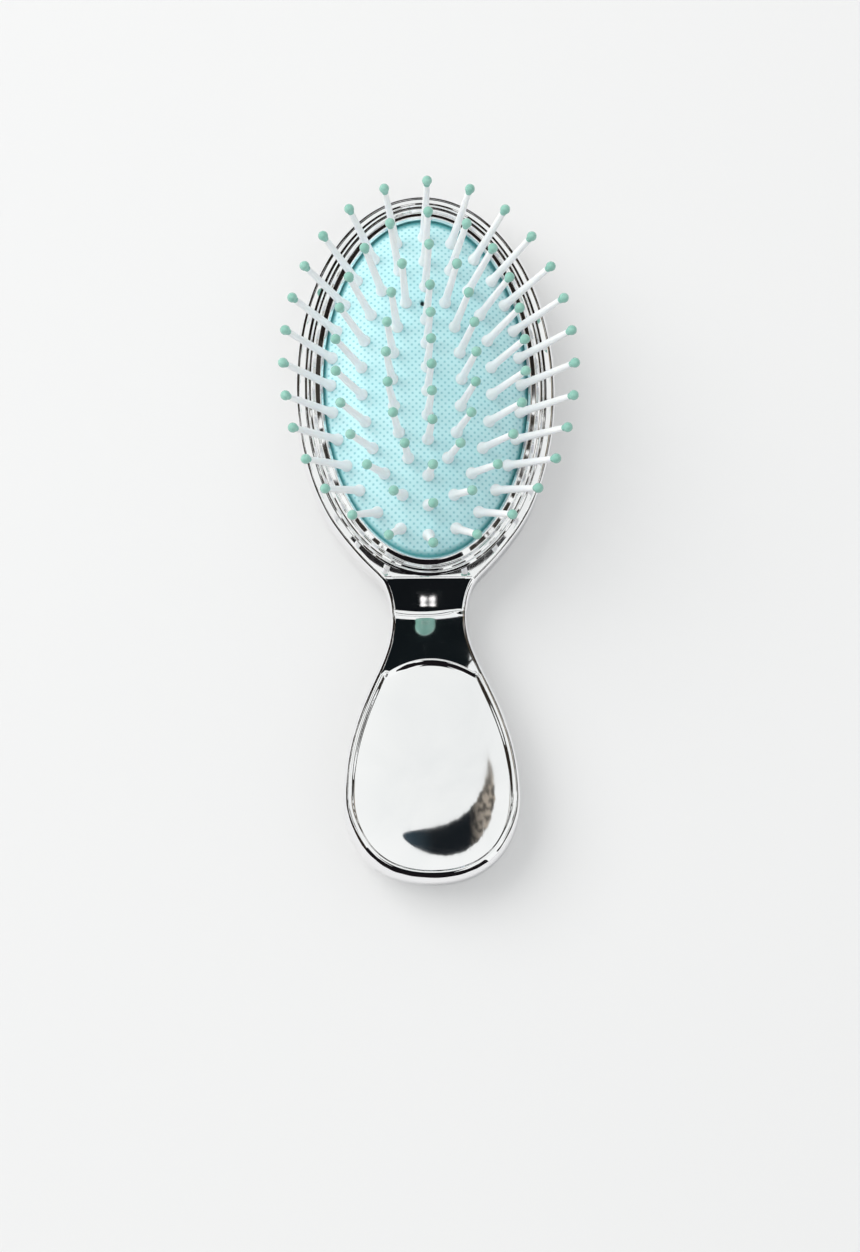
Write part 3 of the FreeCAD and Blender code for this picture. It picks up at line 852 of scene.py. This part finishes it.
# waves of their edges: height in degrees, waves in a full turn, start in degrees
standingWaves = ((1.5, 11, 0), (1.1, 29, 40))
standingSteps = (60, 12)
# curved card close above the handle: from a dark rounded end to a thin pale tail
# ragged edges: mm, radians along, lag across; spans of the tones along X in metres
sweepCard = {"height": 150.0, "path": ((28.4, -24.0), (-4.5, -19.0), (-28.0, -24.0), (-31.7, -49.0)),
             "half": 7.0, "taper": 0.6, "ragged": ((0.35, 47, 1), (0.25, 113, 2)),
             "ends": (0.002, 0.998), "steps": (160, 9),
             "colour": (0.006, 0.008, 0.01, 1), "cool": (0.03, 0.05, 0.065, 1), "tail": (0.4, 0.35, 0.29, 1),
             "coolSpan": (0.008, 0.024), "tailSpan": (-0.016, -0.027),
             "mottle": 300.0, "mottleDetail": 4.0, "mottleSpan": (0.44, 0.56), "mottleLeast": 0.25}
# crescent low over the end of the frame, where the flat face beside the neck mirrors it
crescentCard = {"height": 60.0, "grow": 1.119, "shift": (2.65, 15.9), "turn": (-2.2, -0.94),
                "out": (3.3, 4.3), "steps": (48, 4), "colour": (0.012, 0.011, 0.012, 1)}
# bands over the lower sides of the frame, where its groove mirrors them
grooveCards = {"height": 90.0, "lean": (25, 33), "out": 1.15, "level": 9.95, "gaps": 0.47, "grain": 90.0,
               "turns": {"cardGrooveLeft": (-3.0, -1.95), "cardGrooveRight": (-1.2, -0.14)},
               "steps": (60, 6), "colour": (0.03, 0.026, 0.022, 1)}
# small bright figure of eight in front of the near overhead card
glintCard = {"spot": (2.8, -65.9, 60.0), "wide": 1.5, "tall": 0.42, "core": 0.02, "steps": (60, 6),
             "colour": (0.95, 0.93, 0.92, 1)}
clothLook = {"fold": 7.0, "foldDetail": 3.0, "paler": 1.8, "grain": 14.0, "gapDetail": 1.0, "gapEdge": 0.03}


def overheadPoints(card):
    # flat sheet at the cards' height: x = H tan(lean), y = H tan(lean) + middle
    x, y = np.meshgrid(np.tan(np.radians(card["x"])), np.tan(np.radians(card["y"])))
    return flatSheet(x * cardFar, y * cardFar + overheadMiddle, cardFar)


def standingPoints(card):
    # patch of a sphere round the brush's middle, its upper and lower edges a little wavy
    columns, rows = standingSteps
    turn, up = np.meshgrid(np.linspace(*card["azimuth"], columns), np.linspace(0, 1, rows))
    low, high = card["height"]
    wave = sum(size * np.sin(np.radians(turn * rate + start)) for size, rate, start in standingWaves)
    a, h = np.radians(turn), np.radians(low + (high - low) * up + wave * (2 * up - 1))
    return cardFar * np.stack([np.sin(a) * np.cos(h), np.cos(a) * np.cos(h), np.sin(h)], -1)


def sweepPoints(card):
    # band along a cubic path by four control points, half its width as (4 t (1 - t))^taper, ragged edges
    rows, columns = card["steps"]
    t, side = np.meshgrid(np.linspace(*card["ends"], rows), np.linspace(-1, 1, columns), indexing="ij")
    a, b, c, d = (np.array(point) for point in card["path"])
    t3 = t[..., None]
    middle = a * (1 - t3) ** 3 + 3 * b * t3 * (1 - t3) ** 2 + 3 * c * t3 ** 2 * (1 - t3) + d * t3 ** 3
    ahead = (b - a) * (1 - t3) ** 2 + 2 * (c - b) * t3 * (1 - t3) + (d - c) * t3 ** 2
    ahead /= np.linalg.norm(ahead, axis=-1, keepdims=True)
    ragged = sum(size * np.sin(rate * t + lag * side) for size, rate, lag in card["ragged"])
    half = side * (card["half"] * (4 * t * (1 - t)) ** card["taper"] + ragged * t)
    x, y = middle[..., 0] - ahead[..., 1] * half, middle[..., 1] + ahead[..., 0] * half
    return flatSheet(x, y, card["height"])


def crescentPoints(card):
    # band along the pad's oval, enlarged and moved to meet the camera's mirrored rays at its height
    columns, rows = card["steps"]
    x, y = padOval(*np.meshgrid(np.linspace(*card["turn"], columns), np.linspace(*card["out"], rows)))
    right, away = card["shift"]
    return flatSheet(card["grow"] * x + right, card["grow"] * y + away, card["height"])


def groovePoints(card, turn):
    # where the camera's rays land after the groove turns them: r = 2 (n . v) n - v, up to the card's height
    columns, rows = card["steps"]
    angle, lean = np.meshgrid(np.linspace(*turn, columns), np.radians(np.linspace(*card["lean"], rows)))
    x, y = padOval(angle, card["out"])
    x0, y0 = padOval(angle, 0.0)
    flat = np.stack([x - x0, y - y0], -1) / card["out"]
    normal = np.concatenate([flat * np.sin(lean)[..., None], np.cos(lean)[..., None]], -1)
    spot = flatSheet(x, y, card["level"])
    toCamera = cameraSpot - spot
    toCamera /= np.linalg.norm(toCamera, axis=-1, keepdims=True)
    ray = 2 * (normal * toCamera).sum(-1, keepdims=True) * normal - toCamera
    return spot + ray * (card["height"] - card["level"]) / ray[..., 2:]


def glintPoints(card):
    # figure of eight: s (a cos t, b sin 2t)
    rows, columns = card["steps"]
    t, s = np.meshgrid(np.linspace(0, tau, rows), np.linspace(card["core"], 1, columns), indexing="ij")
    x, y = card["wide"] * np.cos(t) * s, card["tall"] * np.sin(2 * t) * s
    return flatSheet(x, y, 0.0) + np.array(card["spot"])


def makeCard(name, points, card, finish=None):
    # dark cloth with paler folds, and pale gaps between them: more of them with a higher share
    material, tree = newMaterial(name + " cloth")[:2]
    place = addNode(tree, "ShaderNodeTexCoord").outputs["Object"]
    fold = addNoise(tree, place, clothLook["fold"], clothLook["foldDetail"])
    paler = tuple(part * clothLook["paler"] for part in card["colour"][:3]) + (1,)
    shade = mixColour(tree, fold, card["colour"], paler)
    if "gaps" in card:
        drift = addNoise(tree, place, card.get("grain", clothLook["grain"]), clothLook["gapDetail"])
        least, soft = 1 - card["gaps"], clothLook["gapEdge"]
        parted = scaleRange(tree, drift, (least - soft, least + soft))
        shade = mixColour(tree, parted, shade, studio["skyColour"])
    if finish:
        shade = finish(tree, shade, place)
    glow = addNode(tree, "ShaderNodeEmission", {"Color": shade, "Strength": 1.0})
    tree.links.new(glow.outputs[0], tree.nodes["Material Output"].inputs["Surface"])
    piece = putMesh(name, points.reshape(-1, 3), gridFaces(*points.shape[:2]).tolist(), material)
    for ray in ("camera", "diffuse", "shadow", "transmission"):
        setattr(piece, "visible_" + ray, False)


def sweepFinish(tree, shade, place):
    # cool grey at the round end, black in the middle, a mottled pale tail
    along = addNode(tree, "ShaderNodeSeparateXYZ", {0: place}).outputs[0]
    cool = scaleRange(tree, along, sweepCard["coolSpan"])
    shade = mixColour(tree, cool, shade, sweepCard["cool"])
    mottle = addNoise(tree, place, sweepCard["mottle"], sweepCard["mottleDetail"])
    spots = scaleRange(tree, mottle, sweepCard["mottleSpan"], sweepCard["mottleLeast"])
    tail = scaleRange(tree, along, sweepCard["tailSpan"])
    return mixShare(tree, tail, spots, shade, sweepCard["tail"])


makeFloor()
makeSky()
makeKey()
for name, card in overhead.items():
    makeCard(name, overheadPoints(card), card)
for name, card in standing.items():
    makeCard(name, standingPoints(card), card)
makeCard("cardSweep", sweepPoints(sweepCard), sweepCard, sweepFinish)
makeCard("cardCrescent", crescentPoints(crescentCard), crescentCard)
for name, turn in grooveCards["turns"].items():
    makeCard(name, groovePoints(grooveCards, turn), grooveCards)
makeCard("cardGlint", glintPoints(glintCard), glintCard)
say("studio")


def makeCamera():
    # looks at a point of the floor, rolled a little about its own axis
    spot = Vector(cameraSpot) * mm
    ahead = (Vector(view["look"]) * mm - spot).normalized()
    right = ahead.cross(Vector((0, 1, 0))).normalized()
    upward = right.cross(ahead)
    turn = math.radians(view["roll"])
    tiltRight = right * math.cos(turn) + upward * math.sin(turn)
    tiltUp = upward * math.cos(turn) - right * math.sin(turn)
    lens = bpy.data.cameras.new("camera")
    lens.sensor_width = view["sensor"]
    lens.lens = view["focusPixels"] / view["framePixels"] * view["sensor"]
    lens.clip_start = view["nearest"]
    camera = bpy.data.objects.new("camera", lens)
    bpy.context.collection.objects.link(camera)
    axes = Matrix((tiltRight, tiltUp, -ahead)).transposed().to_4x4()
    camera.matrix_world = Matrix.Translation(spot) @ axes
    bpy.context.scene.camera = camera


makeCamera()
bpy.context.scene.view_settings.view_transform = "Standard"
say("camera")
